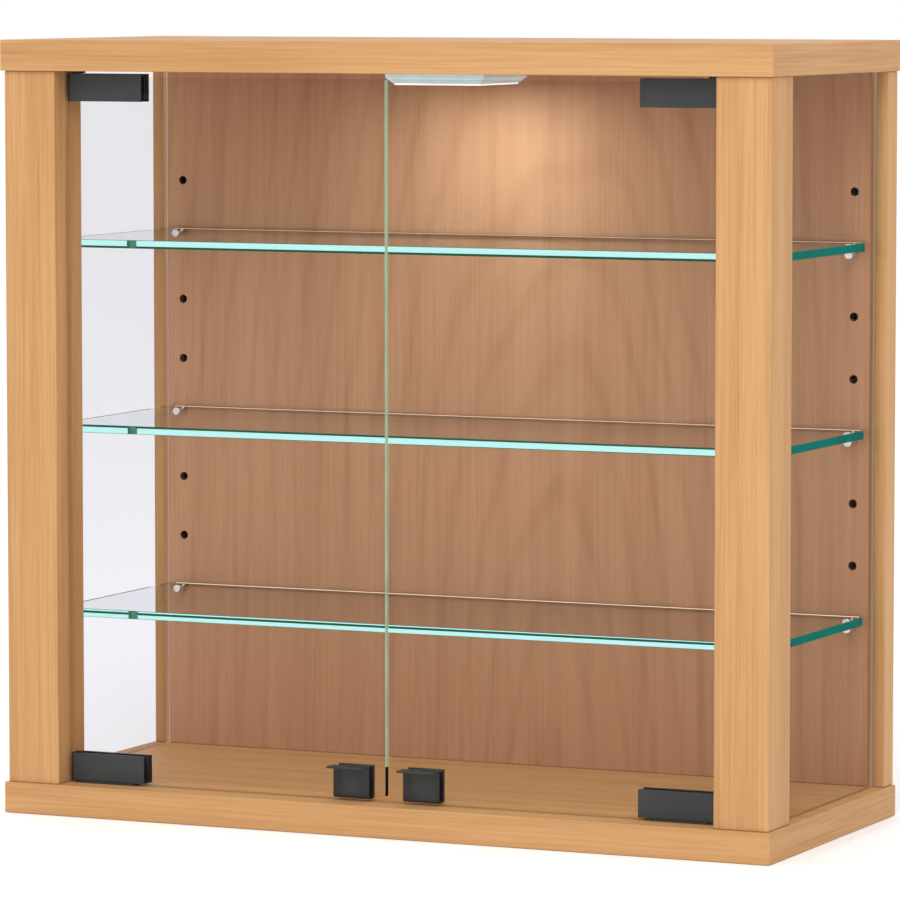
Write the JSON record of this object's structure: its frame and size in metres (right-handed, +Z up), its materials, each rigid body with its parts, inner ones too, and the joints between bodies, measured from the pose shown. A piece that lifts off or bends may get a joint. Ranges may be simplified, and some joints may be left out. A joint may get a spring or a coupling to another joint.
{
  "type": "wall display cabinet",
  "caption": "Shallow wood-framed wall cabinet with glass sides, two frameless glass doors on clamp hinges, glass shelves on pins and a flat lamp under the top board.",
  "frame": {"origin": "middle of the underside of the base board, on the wall's side and front alike half the depth away", "axes": "+X to the right seen from the front, +Y towards the wall, +Z up"},
  "size_m": [0.6, 0.255, 0.565],
  "materials": {
    "beech": "satin beech finish",
    "dowel_wood": "plain turned beech",
    "clear_glass": "clear float glass with green ground edges",
    "black_finish": "satin black coating",
    "nickel": "nickel plated",
    "plated_steel": "zinc plated",
    "black_screws": "blackened",
    "liner": "soft dark liner",
    "lamp_metal": "satin anodised",
    "lamp_diffuser": "milky",
    "light_board": "white mask",
    "light_chips": "clear over yellow",
    "black_plastic": "moulded"
  },
  "bodies": {
    "carcass": {"top_board": "beech", "base_board": "beech", "back_board": "beech", "left_post": "beech", "right_post": "beech", "left_side_glass": "clear_glass", "right_side_glass": "clear_glass", "upper_shelf": "clear_glass", "middle_shelf": "clear_glass", "lower_shelf": "clear_glass", "upper_shelf_supports": "nickel", "middle_shelf_supports": "nickel", "lower_shelf_supports": "nickel", "post_dowels": "dowel_wood", "back_dowels": "dowel_wood", "top_screws": "plated_steel", "base_screws": "plated_steel", "screw_caps": "beech", "left_hanger_plate": "plated_steel", "right_hanger_plate": "plated_steel", "hanger_screws": "plated_steel", "upper_left_pivot_bush": "black_finish", "lower_left_pivot_plate": "black_finish", "upper_right_pivot_bush": "black_finish", "lower_right_pivot_plate": "black_finish", "pivot_plate_screws": "plated_steel", "lamp_housing": "lamp_metal", "lamp_diffuser": "lamp_diffuser", "lamp_board": "light_board", "lamp_chips": "light_chips", "lamp_inlet": "black_plastic", "lamp_screws": "plated_steel"},
    "left_door": {"left_door_glass": "clear_glass", "upper_left_clip": "black_finish", "lower_left_clip": "black_finish", "left_pivot_pins": "plated_steel", "left_clip_liners": "liner", "left_pressure_plates": "plated_steel", "left_clamp_screws": "black_screws", "left_handle": "black_finish", "left_handle_liner": "liner"},
    "right_door": {"right_door_glass": "clear_glass", "upper_right_clip": "black_finish", "lower_right_clip": "black_finish", "right_pivot_pins": "plated_steel", "right_clip_liners": "liner", "right_pressure_plates": "plated_steel", "right_clamp_screws": "black_screws", "right_handle": "black_finish", "right_handle_liner": "liner"}
  },
  "joints": [
    {"name": "left_door_hinge", "type": "hinge", "parent": "carcass", "child": "left_door", "pos_m": [-0.24848, -0.103, 0.2825], "axis": [0, 0, -1], "range_deg": [0, 93]},
    {"name": "right_door_hinge", "type": "hinge", "parent": "carcass", "child": "right_door", "pos_m": [0.24848, -0.103, 0.2825], "axis": [0, 0, 1], "range_deg": [0, 93]}
  ]
}
